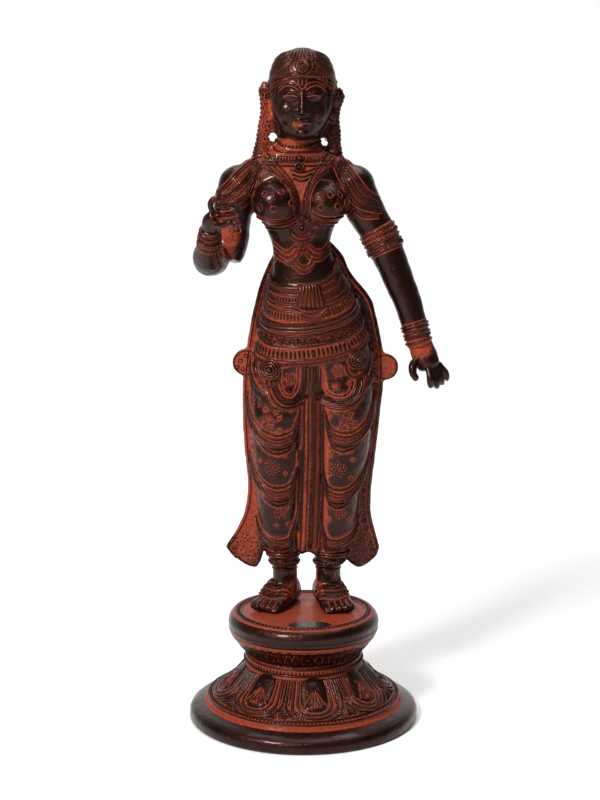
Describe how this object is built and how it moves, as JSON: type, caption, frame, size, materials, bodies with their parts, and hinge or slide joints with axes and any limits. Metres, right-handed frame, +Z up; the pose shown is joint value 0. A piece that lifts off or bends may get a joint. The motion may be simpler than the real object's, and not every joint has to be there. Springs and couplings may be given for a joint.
{
  "type": "apsara statue",
  "caption": "Standing cast metal dancer with swagged dress, jewels and hip scarves, one arm down and one raised, on a round lotus pedestal.",
  "frame": {"origin": "centre of the pedestal's flat underside", "axes": "+Z up along the figure, -Y the way the figure faces, +X the figure's left-hand side"},
  "size_m": [0.1191, 0.106, 0.3054],
  "materials": {
    "figure_bronze": "dark brown bronze, glossy on the raised parts, with orange-red pigment in the hollows",
    "pedestal_bronze": "dark brown bronze, glossy on the rims, with orange-red pigment in the carving and on the top"
  },
  "bodies": {
    "root": {"figure": "figure_bronze", "pedestal": "pedestal_bronze"}
  },
  "joints": []
}
